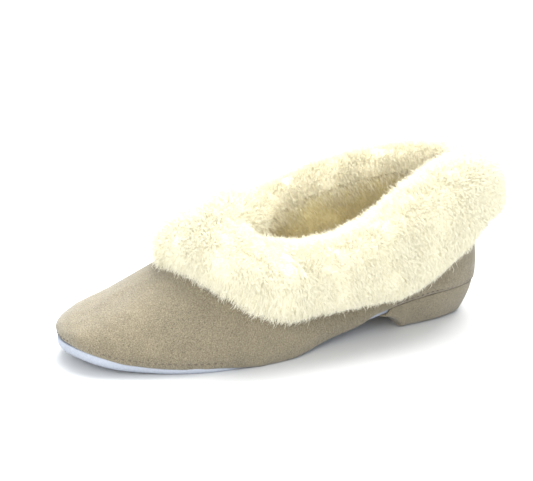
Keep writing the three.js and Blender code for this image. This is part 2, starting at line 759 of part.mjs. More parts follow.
// ---- Stitching --------------------------------------------------------------------------------
const threadDepth = THREAD_RADIUS + CLEARANCE + 0.1;
const mouthStations = stationsFrom(-THROAT_STATION, THROAT_STATION - 1);
addPiece(
  "cuff_seam_thread",
  rod(
    mouthStations.map((u) => {
      const { point, over } = rimAt(u);
      return point.addScaledVector(over, threadDepth);
    }),
    THREAD_RADIUS,
    true,
  ),
  thread,
);
const alongFoot = (stations) => stations.map((u) => skinAt(u, wallShareAbove(u), threadDepth));
const wallShareAbove = (u) => 2.2 / Math.max(riseAt(u), 1);
const footThread = (first, last) => rod(alongFoot(stationsFrom(first, last)), THREAD_RADIUS);
addPiece(
  "sole_seam_thread",
  footThread(HEEL_END_STATION, 2 * STATIONS - HEEL_END_STATION),
  thread,
);
addPiece("heel_seam_thread", footThread(1 - HEEL_END_STATION, HEEL_END_STATION - 1), thread);

// The origin is under the middle of the whole shoe, on the floor.
const bounds = new THREE.Box3().setFromObject(moccasin);
const middle = bounds.getCenter(new THREE.Vector3());
moccasin.position.set(-middle.x, -middle.y, -bounds.min.z);
export default moccasin;
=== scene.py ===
import bmesh
import bpy
import numpy as np
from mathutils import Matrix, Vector


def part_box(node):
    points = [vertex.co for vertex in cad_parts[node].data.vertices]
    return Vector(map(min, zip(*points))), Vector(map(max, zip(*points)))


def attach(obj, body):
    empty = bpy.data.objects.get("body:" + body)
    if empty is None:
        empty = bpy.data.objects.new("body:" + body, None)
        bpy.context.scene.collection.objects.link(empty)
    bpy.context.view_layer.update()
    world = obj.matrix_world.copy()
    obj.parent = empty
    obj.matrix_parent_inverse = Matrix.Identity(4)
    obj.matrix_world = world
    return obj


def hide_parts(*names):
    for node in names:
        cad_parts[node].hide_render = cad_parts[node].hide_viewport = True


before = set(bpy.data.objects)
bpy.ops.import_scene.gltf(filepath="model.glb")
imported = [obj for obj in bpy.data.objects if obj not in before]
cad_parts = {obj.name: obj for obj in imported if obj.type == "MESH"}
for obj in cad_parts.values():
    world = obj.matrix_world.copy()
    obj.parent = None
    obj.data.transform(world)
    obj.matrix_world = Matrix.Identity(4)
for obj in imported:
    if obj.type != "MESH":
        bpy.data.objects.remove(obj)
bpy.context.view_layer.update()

# ---- Outsole --------------------------------------------------------------------------------
# One piece of pale, bluish-white sole leather. It is cut to the outline of the foot, moulded so that
# its margin turns up round the toe like a shallow dish, and thinned to a plain edge at the waist.
# All shapes are worked out in millimetres, toe towards -Y and the outer side of the foot at +X.
SOLE_LENGTH = 250.0
HEEL_WIDTH, WAIST_WIDTH, BALL_WIDTH, TOE_WIDTH = 60.0, 61.0, 88.0, 50.0
TOE_SHIFT, WAIST_SHIFT = 7.0, 5.0
HEEL_HEIGHT, WAIST_HEIGHT, TOE_SPRING = 17.0, 6.5, 6.0
OUTSOLE, TOE_LIP, SUEDE, PIECE_GAP = 3.2, 7.0, 2.0, 0.3
COVER_INSET = 2.5  # how far the sole is drawn in behind the heel's cover


def blend(a, b, w):
    """a where w is 0, b where w is 1, straight between."""
    return a + (b - a) * w


def ease(x, low, high):
    """0 below low, 1 above high, and t * t * (3 - 2t) between."""
    t = np.clip((x - low) / (high - low), 0, 1)
    return t * t * (3 - 2 * t)


def unit(v):
    """Each vector divided by its length."""
    return v / np.maximum(np.linalg.norm(v, axis=-1, keepdims=True), 1e-9)


def along_y(share):
    """Place along the shoe: half the sole's length at the heel back, minus half at the toe tip."""
    return SOLE_LENGTH * (0.5 - share)


def share_of(y):
    """Share of the length from the heel back at a place along the shoe."""
    return np.clip(0.5 - y / SOLE_LENGTH, 0, 1)


def height_through(knots):
    """A height along the shoe through (share, height) knots: Hermite cubics, level at every turn."""
    s, z = np.array(knots, float).T
    s0, s1, z0, z1 = np.r_[s[0], s[:-1]], np.r_[s[1:], s[-1]], np.r_[z[0], z[:-1]], np.r_[z[1:], z[-1]]
    slope = np.where((z - z0) * (z1 - z) <= 0, 0, (z1 - z0) / (s1 - s0))

    def height(share):
        i = np.clip(np.searchsorted(s, share) - 1, 0, len(s) - 2)
        span = s[i + 1] - s[i]
        w = np.clip((share - s[i]) / span, 0, 1)
        bend = w * (1 - w) ** 2 * slope[i] + w * w * (w - 1) * slope[i + 1]
        return blend(z[i], z[i + 1], w * w * (3 - 2 * w)) + span * bend

    return height


tread = height_through([(0, HEEL_HEIGHT), (0.2, HEEL_HEIGHT - 2), (0.4, WAIST_HEIGHT), (0.53, 0.6),
                        (0.63, 0), (0.76, 0), (0.89, TOE_SPRING * 0.32), (1, TOE_SPRING)])
edge_height = height_through([(0, OUTSOLE), (0.58, OUTSOLE), (0.75, OUTSOLE + 0.5),
                              (0.9, TOE_LIP * 0.8), (1, TOE_LIP)])


class Spline:
    """A centripetal Catmull-Rom curve: cubics between knots, whose end slopes weigh the chords on
    either side by the square root of their lengths. Its ends are reflected, or it closes on itself."""

    def __init__(self, knots, closed):
        k = np.array(knots, float)
        ends = (k[-1:], k[:2]) if closed else (2 * k[:1] - k[1:2], 2 * k[-1:] - k[-2:-1])
        self.knots, self.spans = np.vstack([ends[0], k, ends[1]]), len(k) if closed else len(k) - 1
        self.closed = closed

    def __call__(self, t):
        at = np.asarray(t, float) * self.spans
        i = np.clip(np.floor(at).astype(int), 0, self.spans - 1)
        w = (at - i)[..., None]
        a, b, c, d = (self.knots[i + k] for k in range(4))
        pairs = ((a, b), (b, c), (c, d))
        ab, bc, cd = (((q - p) ** 2).sum(-1, keepdims=True) ** 0.25 for p, q in pairs)
        start = ((b - a) / ab - (c - a) / (ab + bc) + (c - b) / bc) * bc
        end = ((c - b) / bc - (d - b) / (bc + cd) + (d - c) / cd) * bc
        square, cube = 3 * (c - b) - 2 * start - end, 2 * (b - c) + start + end
        return b + w * start + w ** 2 * square + w ** 3 * cube

    def direction(self, t, step=1e-4):
        """Unit tangent, from two points a short step apart."""
        t = np.asarray(t, float)
        if self.closed:
            return unit(self(np.mod(t + step, 1)) - self(np.mod(t - step, 1)))
        return unit(self(np.clip(t + step, 0, 1)) - self(np.clip(t - step, 0, 1)))


# Share of the length, width there, and how far its middle leans to the outer side.
plan = [(0.028, HEEL_WIDTH * 0.66, 0), (0.11, HEEL_WIDTH * 0.95, 0),
        (0.26, HEEL_WIDTH, WAIST_SHIFT * 0.4), (0.42, WAIST_WIDTH, WAIST_SHIFT),
        (0.55, blend(WAIST_WIDTH, BALL_WIDTH, 0.72), WAIST_SHIFT * 0.6), (0.69, BALL_WIDTH, 0),
        (0.84, BALL_WIDTH * 0.86, -TOE_SHIFT * 0.5), (0.955, TOE_WIDTH, -TOE_SHIFT * 0.9)]
outer_knots = [(x + w / 2, along_y(s), 0) for s, w, x in plan]
inner_knots = [(x - w / 2, along_y(s), 0) for s, w, x in plan[::-1]]
outline = Spline([(0, along_y(0), 0)] + outer_knots + [(-TOE_SHIFT, along_y(1), 0)] + inner_knots, True)


def outline_at(u, inset=0.0):
    """The seam's outline moved inwards. u goes once round from the heel back, outer side first."""
    u = np.mod(u, 1)
    way = outline.direction(u)
    inwards = np.stack([way[..., 1], -way[..., 0], 0 * way[..., 0]], -1)
    return outline(u) + inwards * np.asarray(inset)[..., None]


# The middle of the heel's first nail ties the shoe's own millimetres to the frame.
NAIL_SHARE = 0.07  # of the length, from the heel back
nail_low, nail_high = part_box("heel_nail_1")
nail_middle = (np.array(nail_low) + np.array(nail_high)) / 2 * [1, 1, 0]
origin = nail_middle - np.array([0, along_y(NAIL_SHARE), 0]) / 1000


def grid_faces(rows, columns, round_rows=False, round_columns=False):
    """Quads between the neighbours of a grid, and across its joins where it runs round."""
    starts = np.arange(rows - (not round_rows)), np.arange(columns - (not round_columns))
    i, j = np.meshgrid(*starts, indexing="ij")
    k, m = (i + 1) % rows, (j + 1) % columns
    return np.stack([i * columns + j, k * columns + j, k * columns + m, i * columns + m], -1).reshape(-1, 4)


def make_piece(name, points, *face_sets, join=0.0, smooth=True):
    """A mesh object from points in millimetres and sets of faces. Points closer than join become one."""
    mesh = bpy.data.meshes.new(name)
    corners = np.concatenate([f.ravel() for f in face_sets]).astype(np.int32)
    sizes = np.concatenate([np.full(len(f), f.shape[1]) for f in face_sets])
    points = points.reshape(-1, 3)
    mesh.vertices.add(len(points))
    mesh.vertices.foreach_set("co", (points / 1000 + origin).ravel())
    mesh.loops.add(len(corners))
    mesh.loops.foreach_set("vertex_index", corners)
    mesh.polygons.add(len(sizes))
    mesh.polygons.foreach_set("loop_start", (np.cumsum(sizes) - sizes).astype(np.int32))
    mesh.polygons.foreach_set("use_smooth", np.full(len(sizes), smooth))
    mesh.update(calc_edges=True)
    if join:
        work = bmesh.new()
        work.from_mesh(mesh)
        bmesh.ops.remove_doubles(work, verts=work.verts, dist=join / 1000)
        work.to_mesh(mesh)
        work.free()
    piece = bpy.data.objects.new(name, mesh)
    bpy.context.collection.objects.link(piece)
    return piece


class Value:
    """A number in a material's nodes. Arithmetic on it adds Math nodes."""

    def __init__(self, finish, socket):
        self.finish, self.socket = finish, socket

    def math(self, operation, a, b=0.0):
        return self.finish.node("ShaderNodeMath", {0: a, 1: b}, operation=operation)

    def __add__(self, other):
        return self.math("ADD", self, other)

    def __mul__(self, other):
        return self.math("MULTIPLY", self, other)

    __radd__, __rmul__ = __add__, __mul__

    def between(self, low, high):
        """0 at low and 1 at high, held at the ends."""
        return self.finish.node("ShaderNodeMapRange", {0: self, 1: low, 2: high}, clamp=True)


class Finish:
    """A material in the making, with its one way of adding a node."""

    def __init__(self, name):
        self.material = bpy.data.materials.new(name)
        self.material.use_nodes = True
        self.tree = self.material.node_tree
        self.tree.nodes.clear()

    def node(self, kind, sockets=(), out=0, stops=None, **settings):
        node = self.tree.nodes.new(kind)
        for key, value in settings.items():
            setattr(node, key, value)
        if stops:
            while len(node.color_ramp.elements) < len(stops):
                node.color_ramp.elements.new(1)
            for element, (place, colour) in zip(node.color_ramp.elements, stops):
                element.position, element.color = place, (*colour, 1)
        for key, value in dict(sockets).items():
            if isinstance(value, Value):
                self.tree.links.new(value.socket, node.inputs[key])
            elif isinstance(value, tuple) and len(value) == 3 and node.inputs[key].type == "RGBA":
                node.inputs[key].default_value = (*value, 1)
            else:
                node.inputs[key].default_value = value
        return Value(self, node.outputs[out])

    def place(self, stretch=(1, 1, 1)):
        """Object coordinates, stretched."""
        where = self.node("ShaderNodeTexCoord", out="Object")
        return self.node("ShaderNodeMapping", {"Vector": where, "Scale": stretch})

    def noise(self, size, detail=2.0, rough=0.5, stretch=(1, 1, 1)):
        """Cloudy noise with lumps of a size in millimetres."""
        return self.node("ShaderNodeTexNoise", {"Vector": self.place(stretch), "Scale": 1000 / size,
                                                "Detail": detail, "Roughness": rough})

    def mix(self, factor, a, b, how="MIX"):
        """Colour a where factor is 0, b where it is 1."""
        return self.node("ShaderNodeMix", {0: factor, 6: a, 7: b}, out=2, data_type="RGBA", blend_type=how)

    def surface(self, colour, roughness, bump=None, depth=0.0, **constants):
        """The shader itself. bump is a height, depth what it stands for in millimetres."""
        sockets = {"Base Color": colour, "Roughness": roughness}
        if bump is not None:
            relief = {"Height": bump, "Distance": depth / 1000, "Strength": 1.0}
            sockets["Normal"] = self.node("ShaderNodeBump", relief, out="Normal")
        sockets.update({key.replace("_", " "): value for key, value in constants.items()})
        shader = self.node("ShaderNodeBsdfPrincipled", sockets)
        output = self.tree.nodes.new("ShaderNodeOutputMaterial")
        self.tree.links.new(shader.socket, output.inputs["Surface"])
        return self.material


def finish_piece(piece, material, slot, *replaced):
    """Gives a piece its material and its place in the shoe."""
    piece.data.materials.append(material)
    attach(piece, "root")
    if replaced:
        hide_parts(*replaced)


def dress(names, material):
    """Gives hidden pieces of the shoe, kept as they are, their material."""
    for name in names:
        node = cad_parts[name]
        node.data.materials.clear()
        node.data.materials.append(material)


WAIST_TUCK = 3.0  # how far the suede is lapped down over the sole's edge at the waist
BALL_TUCK = 0.38  # the same at the ball, as a share of that


def tuck_at(share):
    """The lap along the shoe: none at the heel, all at the waist, a share at the ball, none at the tip."""
    past_waist = blend(1, BALL_TUCK, ease(share, 0.6, 0.72))
    return ease(share, 0.31, 0.36) * past_waist * (1 - ease(share, 0.88, 1.0))


def sole_profile(u):
    """Half a section of the sole, from its lower edge out and up to the lip and in over it. The outer
    face is a quarter of an ellipse, then upright, with a small round where it meets the lip."""
    share = share_of(outline_at(u)[..., 1])
    drawn = COVER_INSET * (1 - ease(share, 0.315, 0.35)) + WAIST_TUCK * tuck_at(share)
    lip = edge_height(share) - PIECE_GAP
    turn = edge_height(share) - OUTSOLE
    edge = 1.2 + 0.8 * turn
    a = np.linspace(0, np.pi / 2, 9)[:, None]
    ones = np.ones_like(lip)[None]
    inset = np.vstack([edge * (1 - np.sin(a)), 0 * ones, 0.15 * ones, 0.5 * ones, SUEDE * ones,
                       OUTSOLE + 0.3 * turn[None]])
    rise = np.vstack([0.62 * lip * (1 - np.cos(a)), lip[None] - 0.5, lip[None] - 0.15, lip[None], lip[None],
                      np.minimum(OUTSOLE, lip)[None] - 0.02])
    p = outline_at(np.broadcast_to(u, inset.shape), drawn + inset)
    p[..., 2] = tread(share_of(p[..., 1])) + rise
    return p


def across(a, b, count, lift):
    """Points straight across the sole from a to b, at a height above the tread."""
    w = np.linspace(0, 1, count + 2)[1:-1, None, None]
    p = blend(a, b, w)
    p[..., 2] = tread(share_of(p[..., 1])) + lift
    return p


even = np.linspace(0, 1, 261)
way = blend(even, 0.5 - 0.5 * np.cos(np.pi * even), 0.3)  # steps a little closer at heel and toe
outer_side, inner_side = sole_profile(way / 2), sole_profile(1 - way / 2)
sole_rings = np.concatenate([outer_side, across(outer_side[-1], inner_side[-1], 8, OUTSOLE - 0.02),
                             inner_side[::-1], across(inner_side[0], outer_side[0], 24, 0.0)])
sole_faces = grid_faces(*sole_rings.shape[:2], round_rows=True)
outsole = make_piece("outsole_leather", sole_rings, sole_faces, join=0.005)

leather = Finish("sole_leather")
pores = leather.noise(0.9, 4)
scuffs = leather.noise(14, 4, 0.7, (1, 0.35, 1))
tone = leather.mix(leather.noise(30, 2), (0.33, 0.36, 0.42), (0.39, 0.42, 0.48))
tone = leather.mix(scuffs.between(0.56, 0.75) * 0.35, tone, (0.32, 0.33, 0.36))
tone = leather.mix(pores.between(0.3, 0.7) * 0.35, tone, (0.20, 0.22, 0.26))
sole_leather = leather.surface(tone, scuffs.between(0.2, 0.8) * 0.2 + 0.5, pores, 0.12)
finish_piece(outsole, sole_leather, "sole_leather", "outsole")

# ---- Inside the sole ------------------------------------------------------------------------
# A felt filler, a sprung steel shank under the arch and a leatherboard insole lie in the sole's dish.
# Suede, filler and sole are drawn together on the board, so none of these shows on the finished shoe.
felt = Finish("felt")
fibres = felt.noise(0.5, 5, 0.7)
felt_finish = felt.surface(felt.mix(fibres, (0.30, 0.27, 0.22), (0.45, 0.41, 0.34)), 0.95, fibres, 0.2)
board = Finish("leatherboard")
flecks = board.noise(1.5, 5, 0.75)
board_finish = board.surface(board.mix(flecks, (0.30, 0.19, 0.10), (0.46, 0.31, 0.17)), 0.85, flecks, 0.08)
steel = Finish("steel")
drawn = steel.noise(0.6, 3, 0.5, (1, 0.05, 1))
bright = steel.mix(drawn, (0.45, 0.46, 0.48), (0.62, 0.63, 0.65))
steel_finish = steel.surface(bright, drawn * 0.2 + 0.3, drawn, 0.02, Metallic=1.0)
dress(["midsole"], felt_finish)
dress(["insole_board", "heel_counter", "toe_puff"], board_finish)
dress(["shank"] + [f"heel_nail_{i}" for i in range(1, 6)], steel_finish)

# ---- Heel -----------------------------------------------------------------------------------
# A low wooden block, nailed through the seat, with a leather top piece on the floor. Its sides and
# front are wrapped in the upper's own suede, glued on, and run up round the edge of the sole.
HEEL_LENGTH, HEEL_OVERHANG, BREAST_SLOPE = 60.0, 1.0, 15.0
HEEL_TAPER, HEEL_RAKE = 4.8, 3.5  # how far its sides draw in at the floor, and its back comes forward
HEEL_COVER, TOP_PIECE, TOP_PIECE_INSET = 1.2, 2.5, 1.2


def side_at(outer, distance, inset):
    """Where the drawn-in outline lies at distances from the heel back, by halving."""
    low, high = np.zeros_like(distance), np.full_like(distance, 0.3)
    for _ in range(26):
        mid = (low + high) / 2
        p = outline_at(mid if outer else 1 - mid, inset)
        short = SOLE_LENGTH / 2 - p[..., 1] < distance
        low, high = np.where(short, mid, low), np.where(short, high, mid)
    return outline_at(low if outer else 1 - low, inset)


def heel_ring(inset, level):
    """The heel's D-shaped plan at levels from the floor, 0, to the sole, 1: the outline drawn in, cut
    off square in front. The plan is averaged with its neighbours to round the two front corners."""
    level = np.minimum(np.atleast_1d(level), 1)[:, None]
    draw = HEEL_OVERHANG + inset + HEEL_TAPER * (1 - level) ** 1.5
    breast = HEEL_LENGTH + BREAST_SLOPE * level ** 2 - inset
    s = np.linspace(0, 1, 70)[None]
    reach = (1 - np.cos(np.pi / 2 * s)) * (breast - draw) + draw
    outer, inner = side_at(True, reach, draw + 0 * s), side_at(False, reach, draw + 0 * s)
    front = blend(outer[:, -1:], inner[:, -1:], np.linspace(0, 1, 34)[None, 1:-1, None])
    ring = np.concatenate([outer, front, inner[:, :0:-1]], 1)
    for _ in range(3):
        ring = (np.roll(ring, 1, 1) + 2 * ring + np.roll(ring, -1, 1)) / 4
    ring[..., 1] -= HEEL_RAKE * (1 - level) ** 1.5 * ease(ring[..., 1], along_y(0.2), along_y(0.02))
    return ring


levels = np.concatenate([[0.055, 0.07, 0.1], np.linspace(0.14, 1, 20)])
cover = heel_ring(0.0, levels)
front_share = ease(HEEL_LENGTH + BREAST_SLOPE - 3.0 - (SOLE_LENGTH / 2 - cover[-1, :, 1]), 0, 3.5)
cover_tread = tread(share_of(cover[..., 1]))
cover[..., 2] = levels[:, None] * (cover_tread + blend(-PIECE_GAP, OUTSOLE - 0.35, front_share)[None])
roll_in = ease(levels, 0.11, 0.05)[:, None, None]
cover = cover + unit(cover.mean(1, keepdims=True) - cover) * [1, 1, 0] * roll_in * 0.5
cover_faces = grid_faces(*cover.shape[:2], round_columns=True)
heel_cover = make_piece("heel_cover_suede", cover, cover_faces, join=0.005)
wall_of_cover = heel_cover.modifiers.new("thickness", "SOLIDIFY")
wall_of_cover.thickness, wall_of_cover.offset = HEEL_COVER / 1000, -1


def capped(rings):
    """Rings of points, row on row, with a middle point for each end, and the faces that close them."""
    rows, columns = rings.shape[:2]
    points = np.vstack([rings.reshape(-1, 3), rings[0].mean(0), rings[-1].mean(0)])
    j = np.arange(columns)
    k = (j + 1) % columns
    first = np.stack([j, k, np.full(columns, rows * columns)], -1)
    end = (rows - 1) * columns
    last = np.stack([k + end, j + end, np.full(columns, rows * columns + 1)], -1)
    return points, grid_faces(rows, columns, round_columns=True), first, last


inset = HEEL_COVER + TOP_PIECE_INSET
heights = np.array([0, 0, 0.25, TOP_PIECE - 0.2, TOP_PIECE, TOP_PIECE])
top_piece = np.repeat(heel_ring(inset, 0.0), 6, 0)
inwards = unit(top_piece.mean(1, keepdims=True) - top_piece)
top_piece = top_piece + inwards * np.array([0.6, 0.25, 0, 0, 0.2, 0.6])[:, None, None]
top_piece[..., 2] = heights[:, None]
heel_top = make_piece("heel_top_leather", *capped(top_piece))
finish_piece(heel_top, sole_leather, "sole_leather", "heel_top_piece")

wood = Finish("heel_wood")
grain = wood.noise(2.5, 3, 0.5, (1, 0.1, 1))
beech = wood.mix(grain, (0.42, 0.27, 0.14), (0.60, 0.42, 0.24))
dress(["heel_block"], wood.surface(beech, 0.7, grain, 0.05))

suede = Finish("suede")
nap = suede.noise(0.62, 3, 0.7)
fine_nap = suede.noise(0.4, 2, 0.6)
patches = suede.noise(26, 3, 0.55)
brushed = suede.noise(7, 3, 0.6)
speckle = (nap * 0.65 + fine_nap * 0.35).between(0.36, 0.64)
tan = suede.mix(patches.between(0.35, 0.68), (0.142, 0.110, 0.066), (0.222, 0.178, 0.110))
tan = suede.mix(brushed.between(0.35, 0.7) * 0.35, tan, (0.140, 0.110, 0.066))
between_fibres = suede.mix(1.0, tan, (0.45, 0.45, 0.43), "MULTIPLY")
tan = suede.mix(speckle, between_fibres, suede.mix(0.5, tan, (0.40, 0.35, 0.24)))
suede_finish = suede.surface(tan, 0.95, nap * 0.7 + fine_nap * 0.3, 0.5,
                             Sheen_Weight=0.25, Sheen_Roughness=0.5)
finish_piece(heel_cover, suede_finish, "suede", "heel_cover")

# ---- Upper ----------------------------------------------------------------------------------
# A single piece of sand-coloured suede, nap side out, moulded over the last and closed with one butt
# seam at the heel back. Its lower edge is turned in and drawn down to the sole by the seam.
BACK_HEIGHT, OUTER_HEIGHT, INNER_HEIGHT, THROAT_HEIGHT = 80.0, 46.0, 61.0, 61.0
VAMP_HEIGHT, TOE_HEIGHT = 48.0, 33.0
MOUTH_BACK, THROAT, MID_VAMP, TOE_CAP = 0.025, 0.628, 0.755, 0.885
MOUTH_END, RIDGE_END = 22 / 36, 0.83  # shares of the way from heel back to toe tip
STITCH_PITCH, PUCKER = 3.4, 0.42  # from stitch to stitch, and the depth of the dimple at each

# Half width of the mouth, share of the length, how far the edge has sagged, and whether it leans outwards.
mouth_plan = [(15.5, MOUTH_BACK + 0.022, 0.0, 0), (25.5, 0.14, 0.04, 0),
              (29.5, 0.31, 0.6, 1), (27.5, 0.5, 1.0, 1)]


def mouth_side(side, height, hold):
    """Knots of the top edge on one side. hold above 1 keeps the edge high for longer."""
    return [(side * half + lean * WAIST_SHIFT * 0.4, along_y(s), blend(BACK_HEIGHT, height, sag ** hold))
            for half, s, sag, lean in mouth_plan]


throat = (0, along_y(THROAT), THROAT_HEIGHT)
mouth = Spline([(0, along_y(MOUTH_BACK), BACK_HEIGHT)] + mouth_side(1, OUTER_HEIGHT, 1)
               + [throat] + mouth_side(-1, INNER_HEIGHT, 2.4)[::-1], True)
ridge = Spline([throat, (-TOE_SHIFT * 0.4, along_y(MID_VAMP), VAMP_HEIGHT),
                (-TOE_SHIFT * 0.8, along_y(TOE_CAP), TOE_HEIGHT)], False)


def way_of(u):
    """0 at the heel back and 1 at the toe tip, on either side."""
    return 1 - np.abs(1 - 2 * np.mod(u, 1))


def mouth_share(u):
    """Share of the top edge's own round that lies over u."""
    half = np.minimum(0.5 * way_of(u) / MOUTH_END, 0.5)
    return np.where(np.mod(u, 1) <= 0.5, half, np.mod(1 - half, 1))


def top_at(u):
    """Where the wall ends at its top: on the top edge, or forward of the throat on the vamp's ridge.
    Gives the point, the ridge's slope, and how far the wall has turned over onto the instep."""
    way = way_of(u)
    open_here = way < MOUTH_END - 1e-6
    r = np.clip((way - MOUTH_END) / (RIDGE_END - MOUTH_END), 0, 1)
    lie = ridge.direction(r)
    point = np.where(open_here[..., None], mouth(mouth_share(u)), ridge(r))
    over = np.where(open_here, ease(way, MOUTH_END - 0.16, MOUTH_END), 1.0)
    return point, lie[..., 2] / lie[..., 1], over, ~open_here


def wall(u, v):
    """The upper's outer surface, u round the outline and v up from the seam: a cubic Bezier from the
    seam, bulging out over it, up to the top edge or level across the ridge."""
    u, v = np.broadcast_arrays(u, v)
    foot = outline_at(u)
    foot[..., 2] = tread(share_of(foot[..., 1])) + edge_height(share_of(foot[..., 1]))
    top, slope, over, _ = top_at(u)
    rise = top[..., 2] - foot[..., 2]
    reach = (foot - top) * [1, 1, 0]
    low = foot + (outline_at(u, -1.0) - outline_at(u)) * 2.6
    low[..., 2] += rise * blend(0.36, 0.5, over)
    high = top + reach * blend(0.5, 0.62, over)[..., None]
    high[..., 2] += over * 0.62 * slope * reach[..., 1] - (1 - over) * rise * 0.34
    v = v[..., None]
    return foot * (1 - v) ** 3 + 3 * low * v * (1 - v) ** 2 + 3 * high * v ** 2 * (1 - v) + top * v ** 3


def wall_out(u, v):
    """The unit normal of the wall, from its slopes, turned into the ridge's own towards the instep."""
    u, v = np.broadcast_arrays(u, v)
    _, slope, over, closed = top_at(u)
    on_top = unit(np.stack([0 * slope, -slope, 1 + 0 * slope], -1))
    w = np.clip(v, 0.02, 1 - blend(0.02, 0.12, over))
    round_ = wall(u + 0.01, w) - wall(u - 0.01, w)
    up = wall(u, w + 0.02) - wall(u, w - 0.02)
    turn = (over ** 2 * ease(v, 0.75, 1))[..., None]
    out = unit(blend(unit(np.cross(up, round_)), on_top, turn))
    return np.where((closed & (v > 0.999))[..., None], on_top, out)


def skin(u, v, depth):
    """The wall moved out along its normal."""
    return wall(u, v) + wall_out(u, v) * np.asarray(depth)[..., None]


def lumps(p, size, seed, waves=18):
    """Soft random unevenness between about -1 and 1: a sum of sine waves, each in its own direction,
    with wavelengths near size."""
    draw = np.random.default_rng(seed)
    pull = unit(draw.normal(size=(waves, 3))) * (2 * np.pi / size) * draw.uniform(0.6, 1.5, (waves, 1))
    phase = draw.uniform(0, 2 * np.pi, waves)
    return sum(np.sin(p @ pull[k] + phase[k]) for k in range(waves)) / np.sqrt(waves)


ROUND = 960
round_once = np.linspace(0, 1, 4001)
foot_line = outline_at(round_once)
foot_length = np.r_[0, np.cumsum(np.linalg.norm(np.diff(foot_line, axis=0), axis=1))]
stitches_round = round(foot_length[-1] / STITCH_PITCH)


def stitch_count(u):
    """Stitches of the seam passed since the heel back, from the outline's length."""
    return np.interp(np.mod(u, 1), round_once, foot_length) / foot_length[-1] * stitches_round


u = (np.arange(ROUND) / ROUND)[None]
v = (np.linspace(0, 1, 38) ** 1.25)[:, None]
shell = wall(u, v)
out = wall_out(u, v)
climb = v * (top_at(u)[0][..., 2] - shell[:1, :, 2])
shell[..., 2] -= WAIST_TUCK * tuck_at(share_of(shell[:1, :, 1])) * np.exp(-climb / 6)
pucker = PUCKER * np.exp(-((climb - 1.6) / 1.1) ** 2) * (0.5 + 0.5 * np.cos(2 * np.pi * stitch_count(u)))
turned_in = 0.9 * np.exp(-climb / 0.8)
puffed = 0.35 * np.exp(-((climb - 4.5) / 2.2) ** 2)
from_back = np.minimum(u, 1 - u) * foot_length[-1]
back_seam = 0.55 * np.exp(-(from_back / 0.7) ** 2) - 0.25 * np.exp(-((from_back - 2.0) / 1.0) ** 2)
at_pole = 1 - ease(v, 0.93, 1) * top_at(u)[3]
uneven = (0.30 * lumps(shell, 34, 3) + 0.13 * lumps(shell, 11, 4)) * at_pole
shell = shell + out * (uneven + puffed - pucker - turned_in - back_seam)[..., None]
upper = make_piece("upper_suede", shell, grid_faces(*shell.shape[:2], round_columns=True), join=0.02)
wall_of_upper = upper.modifiers.new("thickness", "SOLIDIFY")
wall_of_upper.thickness, wall_of_upper.offset = SUEDE / 1000, -1
finish_piece(upper, suede_finish, "suede", "upper")

# ---- Seam stitches --------------------------------------------------------------------------
# Waxed brown thread sews the suede to the sole and, behind, to the heel's cover: short sunken
# stitches with a gap between each two, every one pulling a small dimple in the suede.
STITCH_LONG, STITCH_THICK = 1.9, 0.42
STITCH_RISE, STITCH_SUNK = 1.5, 0.39  # up the wall from the seam, and in from its plain surface
HEEL_SEAM = 13.5 / 72  # share of the outline, on either side, that is sewn to the heel's cover


def stitch_row(first, last):
    """Stitches from one place round the seam to another: each is a small lozenge round in section,
    as thick as the sine of its way along, lying on the suede along the seam."""
    number = np.arange(np.ceil(first), np.floor(last)) + 0.0
    u = np.interp(np.mod(number / stitches_round, 1) * foot_length[-1], foot_length, round_once)
    rise = top_at(u)[0][..., 2] - wall(u, 0.0)[..., 2]
    v = STITCH_RISE / np.maximum(rise, 1)
    middle = skin(u, v, -STITCH_SUNK)
    along = unit(wall(u + 0.002, v) - wall(u - 0.002, v))
    out = wall_out(u, v)
    up = np.cross(out, along)
    t = np.linspace(0, 1, 6)[:, None]
    angle = np.arange(6)[None] * np.pi / 3
    thick = STITCH_THICK * np.sqrt(np.sin(np.pi * np.clip(t, 0.04, 0.96)))
    ring = (out[:, None, None] * (thick * np.cos(angle))[None, ..., None]
            + up[:, None, None] * (thick * np.sin(angle))[None, ..., None]
            + along[:, None, None] * ((t - 0.5) * STITCH_LONG + 0 * angle)[None, ..., None])
    p = middle[:, None, None] + ring
    one = grid_faces(6, 6, round_columns=True)
    caps = np.array([[0, 1, 2, 3, 4, 5], [35, 34, 33, 32, 31, 30]])
    shift = (np.arange(len(number)) * 36)[:, None, None]
    sides = (one[None, :, ::-1] + shift).reshape(-1, 4)
    ends = (caps[None, :, ::-1] + shift).reshape(-1, 6)
    return p.reshape(-1, 3), sides, ends


waxed = Finish("waxed_thread")
twist = waxed.noise(0.5, 2, 0.5)
thread_finish = waxed.surface(waxed.mix(twist, (0.07, 0.055, 0.04), (0.16, 0.13, 0.10)), 0.6, twist, 0.1)
heel_end = stitch_count(np.array(HEEL_SEAM))
sole_row = make_piece("sole_stitches", *stitch_row(heel_end, stitches_round - heel_end))
finish_piece(sole_row, thread_finish, "thread", "sole_seam_thread")
heel_row = make_piece("heel_stitches", *stitch_row(-heel_end, heel_end))
finish_piece(heel_row, thread_finish, "thread", "heel_seam_thread")
dress(["cuff_seam_thread"], thread_finish)

# ---- Lining ---------------------------------------------------------------------------------
# Sheepskin, wool inwards, from the top edge down to the insole all round, thinner towards the toe.
# The skin side is glued to the suede; a sheepskin sock covers the insole.
LINING_START, LINING_WOOL, LINING_WOOL_AT_TOE = 5.9, 6.5, 3.5
MIDSOLE, INSOLE_BOARD, SOCK_HIDE = 2, 2, 1.5
SEAT_TOP = OUTSOLE + MIDSOLE + INSOLE_BOARD + 2 * PIECE_GAP
SOCK_LOW, SOCK_WOOL = SEAT_TOP + 2 * PIECE_GAP + SOCK_HIDE, 5.0


